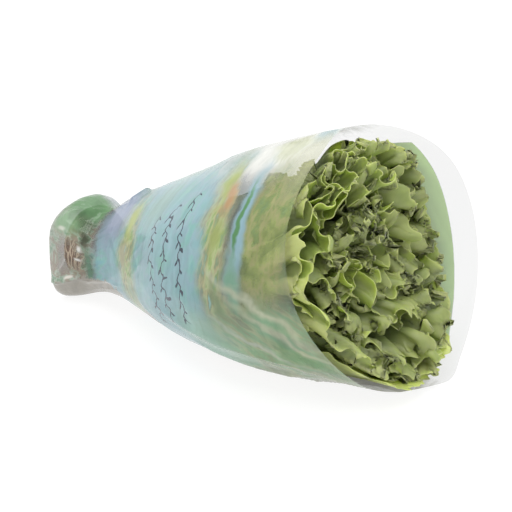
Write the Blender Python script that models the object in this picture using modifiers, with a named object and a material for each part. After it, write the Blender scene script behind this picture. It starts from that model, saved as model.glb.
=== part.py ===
"""A green leaf lettuce head with its root ball, lying on its side in an open film sleeve.

Three solids: root_ball, lettuce_head and sleeve. The sleeve lies along X with its closed
narrow end at low X and its mouth at high X. The origin is on the floor under the belly.
Sizes in the tables are millimetres. The X of a table runs from the sleeve's closed end.
"""

import bmesh
import bpy
import numpy as np

# From the closed end to the origin, which is the middle of the flat strip under the belly.
ORIGIN_FROM_END = 200.0
METRES = 0.001

# The sleeve's cross-sections: distance from the closed end, half width, height of the widest
# line, height of the top ridge, shift to the back, lift of the underside.
SECTIONS = np.array(
    [
        (0, 36, 42, 82, -4, 1.5),
        (6, 39, 43, 87, -3, 1.5),
        (16, 40, 43, 89, -1, 3),
        (31, 36, 41, 81, 3, 7),
        (56, 41, 46, 95, 6, 7.5),
        (90, 54, 53, 113, 6, 2),
        (145, 75, 70, 142, -3, 0),
        (185, 87, 80, 164, -7, 0),
        (225, 95, 89, 181, -8, 0),
        (265, 96, 97, 196, -6, 0),
        (305, 92, 101, 208, -3, 4),
        (370, 88, 101, 206, 0, 6),
    ],
    float,
)
# Length of the film from the closed end at each angle round it: 0 front, 90 top, 180 back.
MOUTH = np.array(
    [
        (0, 292),
        (25, 282),
        (60, 278),
        (90, 278),
        (115, 300),
        (137, 322),
        (165, 336),
        (205, 349),
        (240, 357),
        (257, 361),
        (270, 352),
        (285, 337),
        (315, 322),
    ],
    float,
)
# How far the round section is pressed into the floor, which makes the flat strip it lies on.
PRESSED = 2.5
# How pointed the section is at the top seam, where the two panels are sealed together.
SEAM_POINT = 0.35
# The closed end is squarer than the rest, by this much, and less and less up to this distance.
SQUARE_END = 0.42
SQUARE_TO = 46.0
WALL = 0.8
# Where the film's rings of points lie, and more at these shares of the way to the slanted mouth.
FILM_RINGS = (3, 8, 13, 18, 24, 30, 36, 43, 52, 62, 71, 81, 94, 110, 130, 155, 180, 205, 230, 255)
MOUTH_RINGS = (0.25, 0.5, 0.75, 1.0)
# The closed end is a shallow dome: share of the first section and X of its rings, and its tip.
DOME_RINGS = ((0.3, -3.0), (0.62, -2.6), (0.85, -1.4), (0.96, 0.2))
DOME_TIP = -3.2

# Soft folds standing out of the film: start and end as distance and angle, height, half width.
FOLDS = (
    (8.0, 40.0, 34.0, 78.0, 3.0, 5.0),
    (62.0, 62.0, 78.0, 92.0, 3.5, 6.0),
    (150.0, 338.0, 290.0, 318.0, 2.4, 5.0),
    (170.0, 318.0, 300.0, 302.0, 2.0, 5.0),
    (190.0, 205.0, 320.0, 190.0, 2.2, 6.0),
    (120.0, 140.0, 300.0, 128.0, 2.0, 6.0),
)

# The root ball: a soft block of peat held together by roots, with a hole for the stem.
BALL_START = 5.0
BALL_END = 38.0
BALL_HALF = (33.0, 34.0)
BALL_MIDDLE = (0.0, 45.0)
# Its rings: share of its thickness and share of its half sizes.
BALL_RINGS = (
    (0.0, 0.5),
    (0.03, 0.78),
    (0.12, 0.93),
    (0.25, 0.99),
    (0.4, 1.0),
    (0.55, 0.98),
    (0.7, 0.93),
    (0.84, 0.84),
    (0.95, 0.66),
    (1.0, 0.46),
)
BALL_SIDES = 40
STEM_HOLE = 12.0
HOLE_DEPTH = 16.0

# The stem's radius, and its rings: distance from the closed end and share of that radius.
STEM_RADIUS = 11.0
STEM_RINGS = ((24.0, 0.93), (40.0, 1.0), (56.0, 1.25), (72.0, 1.2), (88.0, 0.9), (104.0, 0.4))
STEM_SIDES = 20

# The head: leaves in a spiral round the stem, of which the first is the innermost. Values in
# pairs are for the innermost leaf and how much more the outermost has.
LEAVES = 32
TURN = np.radians(137.5)
LEAF_THICKNESS = 1.0
LEAF_GREEN = (0.2, 0.35, 0.08)
LEAF_FOOT = (92.0, -44.0)
LEAF_HALF_WIDTH = (30.0, 36.0)
# How far the leaf tips reach from the closed end, by their height. The heart stands a little
# further out, and each tip is a little longer or shorter.
FACE = np.array(
    [(8, 347), (30, 337), (50, 317), (80, 301), (120, 291), (165, 287), (200, 268)], float
)
HEART_PROUD = 8.0
TIP_VARIES = 6.0
# The leaves at the back of the sleeve, where its film is longest, are this much longer.
BACK_LONGER = 12.0
# A leaf's layer is a share of the way out to the film, read at this distance for its tip.
TIP_AT = 300.0
TIP_LAYER = 0.9
ROOM = 0.95
# How wide a leaf is along its length, and how far along the head its length has come.
LEAF_WIDTH = np.array([(0, 0.13), (0.2, 0.16), (0.4, 0.45), (0.62, 0.86), (0.8, 1), (1.2, 1)])
LEAF_RISE = np.array([(0, 0), (0.35, 0.38), (0.7, 0.84), (0.84, 0.95), (0.93, 0.99), (1.1, 1.01)])
# How far the last third bends outward, and how much more inside the head.
BEND = 14.0
INNER_BEND = 34.0
TWIST = 0.35
# Waves a radian of the fan, their height at the edge, their sideways roll, and the lobes'
# depth as a share of the leaf.
WAVES = (7.0, 4.0)
WAVE_HEIGHT = (4.0, 1.5)
WAVE_ROLL = 1.2
LOBE_DEPTH = 0.07
# A leaf is worked out on a fine grid, and its blade takes these rows of it, each with that
# many points across.
LEAF_ROWS = 21
LEAF_COLUMNS = 61
BLADE_ROWS = ((0, 3), (8, 3), (14, 5), (20, 9))
CLEAR_OF_FILM = 2.6
# Share of the way out to that clearance at which the film starts to ease the leaves in.
FREE_SHARE = 0.9


def curve(at, table, column):
    """The smooth line through one column of a table, at distances or angles given."""
    xs = table[:, 0]
    ys = table[:, column]
    slope = np.gradient(ys, xs)
    i = np.clip(np.searchsorted(xs, at) - 1, 0, len(xs) - 2)
    step = xs[i + 1] - xs[i]
    t = np.clip((at - xs[i]) / step, 0, 1)
    start = (1 + 2 * t) * (1 - t) ** 2 * ys[i] + t * (1 - t) ** 2 * step * slope[i]
    end = t * t * (3 - 2 * t) * ys[i + 1] + t * t * (t - 1) * step * slope[i + 1]
    return start + end


def smooth(t):
    """0 below 0, 1 above 1, and a soft S between."""
    t = np.clip(t, 0, 1)
    return t * t * (3 - 2 * t)


def mouth(angle):
    """Length of the film at an angle in radians."""
    degrees = np.degrees(angle) % 360
    before = MOUTH - (360, 0)
    after = MOUTH + (360, 0)
    return curve(degrees, np.vstack([before, MOUTH, after]), 1)


def section(x):
    """Half width, middle height, ridge height, shift and lift of the section at x."""
    half, middle, ridge, shift, lift = [curve(x, SECTIONS, k) for k in range(1, 6)]
    return half, middle, ridge, shift, np.maximum(lift, 0)


def fold_height(x, angle):
    """How far the soft folds stand out of the film here."""
    degrees = np.degrees(angle) % 360
    total = np.zeros(np.broadcast(x, angle).shape)
    for x0, a0, x1, a1, height, half in FOLDS:
        t = (x - x0) / (x1 - x0)
        middle = a0 + (a1 - a0) * t
        radius = section(x)[0]
        away = np.radians(degrees - middle) * radius
        ends = smooth(t / 0.3) * smooth((1 - t) / 0.3)
        total = total + height * ends * np.exp(-((away / half) ** 2))
    return total


def film(x, angle):
    """Point of the film's outer face at x from the closed end and an angle round it.

    The section is an ellipse, sharper at the top seam, with its underside cut flat where it
    lies on the floor. Towards the closed end it becomes a rounded square.
    """
    half, middle, ridge, shift, lift = section(x)
    square = SQUARE_END * (1 - smooth(x / SQUARE_TO))
    c = np.cos(angle)
    s = np.sin(angle)
    point = SEAM_POINT * np.clip(s, 0, 1)
    s = np.sign(s) * np.abs(s) ** (1 - square)
    reach = 1 + fold_height(x, angle) / half
    y = shift - half * reach * np.sign(c) * np.abs(c) ** (1 + point - square)
    below = middle - lift + PRESSED
    z = middle + np.where(s > 0, (ridge - middle) * s, below * s) * reach
    return np.stack([x + 0 * angle, y, np.maximum(lift, z)], -1)


def middle_of(x):
    """Centre of the section at x."""
    half, middle, ridge, shift, lift = section(x)
    return np.stack([x, shift, middle], -1)


def share_of_section(points):
    """How far out each point lies, as a share of the way from the centre to the film."""
    half, middle, ridge, shift, lift = section(points[..., 0])
    dy = np.abs(points[..., 1] - shift)
    dz = points[..., 2] - middle
    tall = np.where(dz > 0, ridge - middle, middle - lift + PRESSED)
    dz = np.abs(dz)
    top = np.where(points[..., 2] > middle, dz / (np.hypot(dy, dz) + 1e-9), 0)
    power = 2 / (1 + SEAM_POINT * top)
    low = np.full(dy.shape, 0.001)
    high = np.full(dy.shape, 3.0)
    for _ in range(24):
        share = (low + high) / 2
        outside = (dz / (tall * share)) ** 2 + (dy / (half * share)) ** power > 1
        low = np.where(outside, share, low)
        high = np.where(outside, high, share)
    return share


def held_inside(points):
    """Points eased in towards the section's centre where they come near the film."""
    lift = section(points[..., 0])[4]
    share = share_of_section(points)
    limit = 1 - CLEAR_OF_FILM / section(points[..., 0])[0]
    free = FREE_SHARE * limit
    past = np.maximum(share - free, 0)
    zone = limit - free
    kept = np.minimum(share, free) + zone * past / (past + zone)
    centre = middle_of(points[..., 0])
    moved = centre + (points - centre) * (kept / share)[..., None]
    moved[..., 2] = np.maximum(moved[..., 2], lift + CLEAR_OF_FILM)
    return moved


def grid_faces(rows, columns, wrap=False):
    """Quads of a grid of points, row by row."""
    faces = []
    last = columns if wrap else columns - 1
    for i in range(rows - 1):
        for j in range(last):
            k = (j + 1) % columns
            row = i * columns
            faces.append((row + j, row + k, row + columns + k, row + columns + j))
    return faces


def capped_tube(rows):
    """Points and faces of a closed tube through rings of points, with a flat face at each end."""
    points = np.concatenate(rows)
    around = len(rows[0])
    faces = grid_faces(len(rows), around, wrap=True)
    faces.append(tuple(range(around)))
    faces.append(tuple(reversed(range(len(points) - around, len(points)))))
    return points, faces


def make_object(name, points, faces, colour, roughness):
    """An object of points in millimetres from the closed end, with its own material."""
    points = (np.asarray(points, float).reshape(-1, 3) - (ORIGIN_FROM_END, 0, 0)) * METRES
    mesh = bpy.data.meshes.new(name)
    mesh.from_pydata(points.tolist(), [], faces)
    obj = bpy.data.objects.new(name, mesh)
    parts.objects.link(obj)
    material = bpy.data.materials.new(name)
    material.use_nodes = True
    shader = material.node_tree.nodes["Principled BSDF"]
    shader.inputs["Base Color"].default_value = (*colour, 1)
    shader.inputs["Roughness"].default_value = roughness
    shader.inputs["Metallic"].default_value = 0.0
    mesh.materials.append(material)
    return obj


def edit(obj, action):
    """Runs one bmesh action on an object's mesh."""
    bm = bmesh.new()
    bm.from_mesh(obj.data)
    action(bm)
    bm.to_mesh(obj.data)
    bm.free()


def face_out(bm):
    """Turns all faces outward."""
    bmesh.ops.recalc_face_normals(bm, faces=bm.faces)


def apply_modifiers(obj):
    """Replaces the mesh by what its modifiers make of it."""
    graph = bpy.context.evaluated_depsgraph_get()
    mesh = bpy.data.meshes.new_from_object(obj.evaluated_get(graph))
    obj.modifiers.clear()
    obj.data = mesh


def make_sleeve():
    """The film: one skin from a closed dome to the slanted mouth, given its thickness inward."""
    angles = np.radians(
        np.concatenate(
            [np.arange(0, 84, 9), [86, 95, 104], np.arange(113, 262, 9), np.arange(266, 355, 8.5)]
        )
    )
    rows = []
    # The closed end: a shallow dome that rounds over to the first section.
    for share, x in DOME_RINGS:
        ring = film(np.full_like(angles, 1.0), angles)
        centre = middle_of(np.full_like(angles, 1.0))
        ring = centre + (ring - centre) * share
        ring[:, 0] = x
        rows.append(ring)
    for x in FILM_RINGS:
        rows.append(film(np.full_like(angles, float(x)), angles))
    last = FILM_RINGS[-1]
    for share in MOUTH_RINGS:
        rows.append(film(last + (mouth(angles) - last) * share, angles))
    points = np.concatenate(rows)
    faces = grid_faces(len(rows), len(angles), wrap=True)
    pole = len(points)
    points = np.vstack([points, [(DOME_TIP, rows[0][:, 1].mean(), rows[0][:, 2].mean())]])
    for j in range(len(angles)):
        faces.append((pole, (j + 1) % len(angles), j))
    obj = make_object("sleeve", points, faces, (0.62, 0.75, 0.72), 0.2)
    edit(obj, face_out)
    edit(obj, lambda bm: bmesh.ops.triangulate(bm, faces=bm.faces))
    wall = obj.modifiers.new("wall", "SOLIDIFY")
    wall.thickness = WALL * METRES
    wall.offset = -1
    apply_modifiers(obj)
    obj.data.shade_smooth()


def make_root_ball():
    """The peat block: a rounded, lumpy drum with raised roots, and a plain hole for the stem."""
    angles = np.linspace(0, 2 * np.pi, BALL_SIDES, endpoint=False)
    length = BALL_END - BALL_START
    rows = []
    for along, share in BALL_RINGS:
        lumps = 0.025 * np.sin(3 * angles + 4 * along) + 0.02 * np.sin(7 * angles - 9 * along)
        roots = 0.035 * np.maximum(0, np.sin(5 * angles + 6 * along)) ** 6
        share = share * (1 + (lumps + roots) * np.sin(np.pi * np.clip(along, 0.05, 0.95)))
        y = BALL_MIDDLE[0] - BALL_HALF[0] * share * np.cos(angles)
        z = BALL_MIDDLE[1] + BALL_HALF[1] * share * np.sin(angles)
        x = np.full(BALL_SIDES, BALL_START + length * along)
        rows.append(np.stack([x, y, z], -1))
    points, faces = capped_tube(rows)
    obj = make_object("root_ball", points, faces, (0.16, 0.1, 0.06), 0.95)
    edit(obj, face_out)
    obj.data.shade_smooth()
    centre = middle_of(np.array(BALL_END))
    bpy.ops.mesh.primitive_cylinder_add(
        vertices=32,
        radius=STEM_HOLE * METRES,
        depth=2 * HOLE_DEPTH * METRES,
        rotation=(0, np.pi / 2, 0),
        location=(
            (BALL_END - ORIGIN_FROM_END) * METRES,
            centre[1] * METRES,
            centre[2] * METRES,
        ),
    )
    cutter = bpy.context.object
    cutter.name = "stem_hole_cutter"
    cutter.users_collection[0].objects.unlink(cutter)
    cutters.objects.link(cutter)
    cutter.hide_render = True
    cutter.display_type = "WIRE"
    hole = obj.modifiers.new("stem hole", "BOOLEAN")
    hole.operation = "DIFFERENCE"
    hole.solver = "EXACT"
    hole.object = cutter


def cusps(phase):
    """A row of pointed tips with round bays between them, from 0 to 1."""
    return 1 - np.abs(np.sin(phase))


def ruffle(points, phase, height, overhang):
    """A wave along the grid's normals, with a sideways part that rounds it into loops."""
    down = np.gradient(points, axis=0)
    across = np.gradient(points, axis=1)
    across /= np.linalg.norm(across, axis=-1, keepdims=True) + 1e-9
    normal = np.cross(across, down)
    normal /= np.linalg.norm(normal, axis=-1, keepdims=True) + 1e-9
    wave = normal * (height * np.sin(phase))[..., None]
    return points + wave - across * (overhang * np.sin(2 * phase))[..., None]


def leaf_outline(number, layer, s, t):
    """Where a leaf's grid lies on the flat leaf: how far along, how far across, its waves.

    The leaf is a fan on a short stalk. Waves run out from the blade's middle, and they grow
    to 1 at its margin, which is cut into pointed lobes at their crests.
    """
    plain = t * (1 - 0.13 * s**2)
    half_width = LEAF_HALF_WIDTH[0] + LEAF_HALF_WIDTH[1] * layer
    plain_width = half_width * curve(plain, LEAF_WIDTH, 1)
    fan = np.arctan2(s * plain_width, (plain - 0.5) * 200)
    phase = (WAVES[0] + WAVES[1] * layer) * fan
    phase = phase + 1.7 * number + 0.9 * np.sin(2.3 * fan + 2.1 * number)
    margin = np.maximum(np.abs(s) * smooth((plain - 0.35) / 0.25), t)
    lobes = LOBE_DEPTH * cusps(phase + np.pi / 2) - 0.03
    grow = 1 + lobes * smooth((margin - 0.8) / 0.2)
    return plain * grow, s * plain_width * grow, phase, smooth((margin - 0.5) / 0.5)


def leaf_surface(number):
    """Points of one leaf as a grid, rows from its foot to its edge.

    The leaf leaves the stem, follows its layer of the head, a set share of the way out to the
    film, and bends outward near its edge. Its blade stands a little askew and is ruffled.
    """
    layer = ((number + 0.3) / LEAVES) ** 0.5
    turn = number * TURN + 0.25 * np.sin(12.9898 * number + 4.1)
    s = np.linspace(-1, 1, LEAF_COLUMNS)[None, :]
    t = 1 - (1 - np.linspace(0, 1, LEAF_ROWS)[:, None]) ** 1.5
    along, across, phase, edge = leaf_outline(number, layer, s, t)

    # The leaves end on one slanted face, which each part of a fan meets at its own height.
    centre = middle_of(np.array(TIP_AT))
    reach = TIP_LAYER * layer * np.linalg.norm(film(np.array(TIP_AT), turn) - centre)
    tip_turn = turn + across / max(reach, 22)
    tip = centre + TIP_LAYER * layer * (film(np.array(TIP_AT), tip_turn) - centre)
    tip_x = curve(tip[..., 2], FACE, 1) + HEART_PROUD * (1 - layer**2)
    tip_x = tip_x + TIP_VARIES * np.sin(7.3 * number)
    tip_x = tip_x + BACK_LONGER * layer * (0.5 - 0.5 * np.cos(tip_turn))
    foot_x = LEAF_FOOT[0] + LEAF_FOOT[1] * layer
    x = foot_x + (tip_x - foot_x) * curve(along, LEAF_RISE, 1)

    open_up = smooth(along / 0.5)
    bend = BEND * layer + INNER_BEND * layer * (1 - layer**3)
    flare = bend * (smooth((along - 0.64) / 0.54) - 0.75)
    radius = np.linalg.norm(film(x, np.full_like(x, turn)) - middle_of(x), axis=-1)
    # The leaves lie closer to the film below, and leave it free above, behind the mouth.
    room = ROOM + 0.07 * smooth(0.3 - np.sin(turn))
    room = room - 0.4 * smooth((270 - x) / 90) * smooth(np.sin(turn))
    rho = (STEM_RADIUS - 5) * (1 - open_up) + open_up * (room * layer * radius + flare)
    twist = TWIST * np.sin(5.1 * number + 1) * (1 - layer**3)
    rho = rho + twist * across * smooth((along - 0.3) / 0.4)
    angle = turn + across / np.maximum(np.abs(rho), 22)
    points = middle_of(x) + (film(x, angle) - middle_of(x)) * (rho / radius)[..., None]
    height = (WAVE_HEIGHT[0] + WAVE_HEIGHT[1] * layer) * edge
    return held_inside(ruffle(points, phase, height, WAVE_ROLL * edge))


def strip_faces(near, far):
    """Triangles between two rows of points that differ in number."""
    faces = []
    i = 0
    j = 0
    while i < len(near) - 1 or j < len(far) - 1:
        if (i + 1) * (len(far) - 1) <= (j + 1) * (len(near) - 1) and i < len(near) - 1:
            faces.append((near[i], near[i + 1], far[j]))
            i += 1
        else:
            faces.append((near[i], far[j + 1], far[j]))
            j += 1
    return faces


def make_leaf(number):
    """One leaf as a thin closed blade, split into triangles before it gets its thickness."""
    grid = leaf_surface(number)
    points = []
    faces = []
    before = []
    for row, count in BLADE_ROWS:
        across = np.linspace(0, LEAF_COLUMNS - 1, count).round().astype(int)
        start = len(points)
        points.extend(grid[row, across])
        now = list(range(start, start + count))
        if before:
            faces.extend(strip_faces(before, now))
        before = now
    leaf = make_object(f"leaf_{number}", points, faces, LEAF_GREEN, 0.5)
    blade = leaf.modifiers.new("blade", "SOLIDIFY")
    blade.thickness = LEAF_THICKNESS * METRES
    blade.offset = 0
    return leaf


def make_stem():
    """The short stem: a tapering rod from inside the root ball up into the leaves."""
    angles = np.linspace(0, 2 * np.pi, STEM_SIDES, endpoint=False)
    rows = []
    for x, share in STEM_RINGS:
        # The part in the hole keeps the height of the hole.
        centre = middle_of(np.array(max(x, BALL_END)))
        radius = STEM_RADIUS * share
        y = centre[1] - radius * np.cos(angles)
        z = centre[2] + radius * np.sin(angles)
        rows.append(np.stack([np.full(STEM_SIDES, x), y, z], -1))
    points, faces = capped_tube(rows)
    obj = make_object("lettuce_head", points, faces, LEAF_GREEN, 0.5)
    edit(obj, face_out)
    return obj


def keep_biggest_piece(bm):
    """Drops loose scraps, and the inner skins of sealed hollows, which fills them."""
    left = set(bm.verts)
    pieces = []
    while left:
        queue = [left.pop()]
        piece = list(queue)
        while queue:
            vert = queue.pop()
            for link in vert.link_edges:
                other = link.other_vert(vert)
                if other in left:
                    left.discard(other)
                    queue.append(other)
                    piece.append(other)
        pieces.append(piece)
    pieces.sort(key=len)
    for piece in pieces[:-1]:
        bmesh.ops.delete(bm, geom=piece, context="VERTS")


def make_head():
    """The lettuce: all leaves and the stem fused into one body."""
    head = make_stem()
    leaves = bpy.data.collections.new("leaves")
    for number in range(LEAVES):
        leaf = make_leaf(number)
        parts.objects.unlink(leaf)
        leaves.objects.link(leaf)
    bpy.context.scene.collection.children.link(leaves)
    fuse = head.modifiers.new("fuse", "BOOLEAN")
    fuse.operation = "UNION"
    fuse.solver = "MANIFOLD"
    fuse.operand_type = "COLLECTION"
    fuse.collection = leaves
    apply_modifiers(head)
    for leaf in list(leaves.objects):
        bpy.data.objects.remove(leaf)
    bpy.data.collections.remove(leaves)
    edit(head, keep_biggest_piece)


for start_object in list(bpy.data.objects):
    bpy.data.objects.remove(start_object)
parts = bpy.data.collections.new("green_leaf_lettuce_head")
cutters = bpy.data.collections.new("cutters")
bpy.context.scene.collection.children.link(parts)
bpy.context.scene.collection.children.link(cutters)
make_root_ball()
make_head()
make_sleeve()
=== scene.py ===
"""Looks of a green leaf lettuce head with its root ball, lying in an open film sleeve.

The sleeve lies along X with its closed narrow end at low X and its mouth at high X.
Shapes are worked out in millimetres, with X counted from the sleeve's closed end.
"""

import bmesh
import bpy
import numpy as np
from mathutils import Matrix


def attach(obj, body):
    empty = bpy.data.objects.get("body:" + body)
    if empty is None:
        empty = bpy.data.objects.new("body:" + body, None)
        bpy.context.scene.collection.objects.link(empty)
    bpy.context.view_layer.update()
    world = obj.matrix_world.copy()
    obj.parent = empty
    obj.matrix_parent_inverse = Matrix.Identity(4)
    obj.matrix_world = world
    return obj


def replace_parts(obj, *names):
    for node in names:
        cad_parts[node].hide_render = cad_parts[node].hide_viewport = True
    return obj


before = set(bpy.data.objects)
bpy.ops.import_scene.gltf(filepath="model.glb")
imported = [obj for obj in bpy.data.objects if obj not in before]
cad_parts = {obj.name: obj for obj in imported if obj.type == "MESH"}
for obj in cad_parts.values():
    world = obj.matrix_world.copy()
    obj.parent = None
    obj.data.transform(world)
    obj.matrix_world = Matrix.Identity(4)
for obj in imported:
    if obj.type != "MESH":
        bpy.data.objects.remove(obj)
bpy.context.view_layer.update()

# The table top
# A wide, evenly lit sheet of white acrylic under the packet. It is only the stage.

# Millimetres in a metre.
A_METRE = 1000.0
# From the closed end to the origin, which is the middle of the flat strip under the belly.
END_TO_ORIGIN = 200.0
# Half the sheet's width.
TABLE_HALF = 6000.0
# The acrylic lies this far below the packet, so that no two faces share a place.
TABLE_BELOW = 0.05


def linear(hex_colour):
    """Linear colour with full alpha from an sRGB hex value.

    A dark part is divided by 12.92. A lighter one is raised by 0.055, scaled so that 1 stays
    1, and taken to the power 2.4.
    """
    parts = np.array([int(hex_colour[i : i + 2], 16) for i in (0, 2, 4)]) / 255
    low = parts / 12.92
    high = ((parts + 0.055) / 1.055) ** 2.4
    return (*np.where(parts <= 0.04045, low, high), 1.0)


def new_material(name):
    """An empty material, and the shader that is joined to its output."""
    material = bpy.data.materials.new(name)
    material.use_nodes = True
    return material, material.node_tree.nodes["Principled BSDF"]


def surface(name, points, uv, material, closed_round=False, layers=None):
    """A mesh from one or more grids of points in millimetres from the closed end.

    points and uv hold rows of columns. Where closed_round is set, the last column of points
    joins the first, and uv has one more column. layers are further values per point, by name.
    Each face joins four neighbours of a grid, and its corners take their places in uv.
    """
    rows, columns = points.shape[-3:-1]
    count = rows * columns
    grids = points.reshape(-1, count, 3)
    row = np.arange(rows - 1)[:, None]
    column = np.arange(columns if closed_round else columns - 1)[None, :]
    here = row * columns + column
    beside = row * columns + (column + 1) % columns
    quads = np.stack([here, beside, beside + columns, here + columns], -1).reshape(-1, 4)
    wide = uv.shape[-2]
    corner = row * wide + column
    corners = np.stack([corner, corner + 1, corner + wide + 1, corner + wide], -1).reshape(-1, 4)
    grid = np.arange(len(grids))[:, None, None]
    quads = (quads[None] + grid * count).reshape(-1, 4)
    corners = (corners[None] + grid * rows * wide).reshape(-1, 4)
    mesh = bpy.data.meshes.new(name)
    placed = (grids.reshape(-1, 3) - (END_TO_ORIGIN, 0, 0)) / A_METRE
    mesh.vertices.add(len(placed))
    mesh.vertices.foreach_set("co", placed.astype(np.float32).ravel())
    mesh.loops.add(quads.size)
    mesh.loops.foreach_set("vertex_index", quads.astype(np.int32).ravel())
    mesh.polygons.add(len(quads))
    mesh.polygons.foreach_set("loop_start", np.arange(0, quads.size, 4, dtype=np.int32))
    mesh.polygons.foreach_set("use_smooth", np.ones(len(quads), bool))
    layer = mesh.uv_layers.new(name="UVMap")
    layer.data.foreach_set("uv", uv.reshape(-1, 2)[corners.ravel()].astype(np.float32).ravel())
    for label, values in (layers or {}).items():
        attribute = mesh.attributes.new(label, "FLOAT", "POINT")
        attribute.data.foreach_set("value", values.astype(np.float32).ravel())
    mesh.update(calc_edges=True)
    mesh.materials.append(material)
    piece = bpy.data.objects.new(name, mesh)
    bpy.context.scene.collection.objects.link(piece)
    return piece


# Matt white acrylic that glows softly, so that the floor stays pale under the soft shadow.
acrylic, acrylic_shader = new_material("lit white acrylic")
acrylic_shader.inputs["Base Color"].default_value = linear("727272")
acrylic_shader.inputs["Roughness"].default_value = 0.6
acrylic_shader.inputs["Emission Color"].default_value = (1, 1, 1, 1)
acrylic_shader.inputs["Emission Strength"].default_value = 0.84
span = np.linspace(-TABLE_HALF, TABLE_HALF, 3)
acrylic_points = np.stack(np.broadcast_arrays(span[None, :], span[:, None], -TABLE_BELOW), -1)
table_top = surface("table_top", acrylic_points, np.zeros((3, 3, 2)), acrylic)

# The space inside the sleeve
# The film is two panels sealed along the top and the bottom seam, blown open by the leaves.
# Its section is nearly round, sharper at the top seam, and cut flat where it lies.

# Distance from the closed end, half width, height of the widest line, height of the ridge,
# shift to the back, lift of the underside.
SECTIONS = np.array(
    [
        (0, 36, 42, 82, -4, 1.5),
        (6, 39, 43, 87, -3, 1.5),
        (16, 40, 43, 89, -1, 3),
        (31, 36, 41, 81, 3, 7),
        (56, 41, 46, 95, 6, 7.5),
        (90, 54, 53, 113, 6, 2),
        (145, 75, 70, 142, -3, 0),
        (185, 87, 80, 164, -7, 0),
        (225, 95, 89, 181, -8, 0),
        (265, 96, 97, 196, -6, 0),
        (305, 92, 101, 208, -3, 4),
        (370, 88, 101, 206, 0, 6),
    ],
    float,
)
# Length of the film at each angle round it: 0 front, 90 top, 180 back, 270 underside.
MOUTH = np.array(
    [
        (0, 292),
        (25, 282),
        (60, 278),
        (90, 278),
        (115, 300),
        (137, 322),
        (165, 336),
        (205, 349),
        (240, 357),
        (257, 361),
        (270, 352),
        (285, 337),
        (315, 322),
    ],
    float,
)
# How far the round section is pressed into the floor, which makes the flat strip it lies on.
PRESSED = 2.5
# How pointed the section is at the top seam, where the two panels are sealed together.
SEAM_POINT = 0.35
# The closed end is squarer than the rest, by this much, and less and less up to this distance.
SQUARE_END = 0.42
SQUARE_TO = 46.0
# Soft folds: start and end as distance and angle, height, half width. Each rises and fades
# over this share of its length.
FOLD_FADES = 0.3
FOLDS = (
    (8, 40, 34, 78, 3.0, 5),
    (62, 62, 78, 92, 3.5, 6),
    (150, 338, 290, 318, 2.4, 5),
    (170, 318, 300, 302, 2.0, 5),
    (190, 205, 320, 190, 2.2, 6),
    (120, 140, 300, 128, 2.0, 6),
)


def curve(at, table, column):
    """The smooth line through one column of a table, read at the values given.

    Between two rows it is the cubic that has their values and the mean slopes there.
    """
    xs = table[:, 0]
    ys = table[:, column]
    slope = np.gradient(ys, xs)
    i = np.clip(np.searchsorted(xs, at) - 1, 0, len(xs) - 2)
    step = xs[i + 1] - xs[i]
    t = np.clip((at - xs[i]) / step, 0, 1)
    start = (1 + 2 * t) * (1 - t) ** 2 * ys[i] + t * (1 - t) ** 2 * step * slope[i]
    end = t * t * (3 - 2 * t) * ys[i + 1] + t * t * (t - 1) * step * slope[i + 1]
    return start + end


def smooth(t):
    """0 below 0, 1 above 1, and a soft S between: three times the square less twice the cube."""
    t = np.clip(t, 0, 1)
    return t * t * (3 - 2 * t)


def mouth(angle):
    """Length of the film at an angle in radians, from a table that repeats each turn."""
    degrees = np.degrees(angle) % 360
    return curve(degrees, np.vstack([MOUTH - (360, 0), MOUTH, MOUTH + (360, 0)]), 1)


def section(x):
    """Half width, middle height, ridge height, shift and lift at x, read from the table."""
    half, middle, ridge, shift, lift = [curve(x, SECTIONS, k) for k in range(1, 6)]
    return half, middle, ridge, shift, np.maximum(lift, 0)


def fold_height(x, angle):
    """Height of the soft folds: a rounded ridge along each line, fading at its ends."""
    degrees = np.degrees(angle) % 360
    total = 0 * (x + angle)
    for x0, a0, x1, a1, height, half in FOLDS:
        t = (x - x0) / (x1 - x0)
        away = np.radians(degrees - a0 - (a1 - a0) * t) * section(x)[0]
        ends = smooth(t / FOLD_FADES) * smooth((1 - t) / FOLD_FADES)
        total = total + height * ends * np.exp(-((away / half) ** 2))
    return total


def film(x, angle, proud=0.0):
    """Point of the film's outer face at x and an angle round it, moved out by proud.

    The section is half an ellipse above its widest line and half of another below it. Powers
    of the sine and cosine sharpen it at the top seam and square it at the closed end, and the
    underside is cut off flat where it comes lower than the section's lift.
    """
    half, middle, ridge, shift, lift = section(x)
    square = SQUARE_END * (1 - smooth(x / SQUARE_TO))
    c = np.cos(angle)
    s = np.sin(angle)
    point = SEAM_POINT * np.clip(s, 0, 1)
    s = np.sign(s) * np.abs(s) ** (1 - square)
    reach = 1 + (fold_height(x, angle) + proud) / half
    y = shift - half * reach * np.sign(c) * np.abs(c) ** (1 + point - square)
    below = middle - lift + PRESSED
    z = middle + np.where(s > 0, (ridge - middle) * s, below * s) * reach
    return np.stack([x + 0 * angle, y, np.maximum(lift, z)], -1)


def middle_of(x):
    """Centre of the section at x: its shift, and the height of its widest line."""
    half, middle, ridge, shift, lift = section(x)
    return np.stack([x, shift, middle], -1)


# The lettuce head
# One plant: a short stem with a spiral of leaves, each a fan on a short stalk that ends in a
# curled, toothed frill. The leaves fill the sleeve up to the film near the mouth.

# The leaves go round the stem by the golden angle, each a little more or less, and the first
# is the innermost. Values in pairs are for the innermost leaf and what the outermost adds.
LEAVES = 32
TURN = np.radians(137.5)
TURN_VARIES = 0.25
STEM_RADIUS = 11.0
BALL_END = 38.0
LEAF_FOOT = (92.0, -44.0)
FOOT_SUNK = 5.0
LEAF_HALF_WIDTH = (30.0, 36.0)
LEAF_THICKNESS = 0.45
LEAF_ROWS = 30
LEAF_COLUMNS = 181
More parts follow.
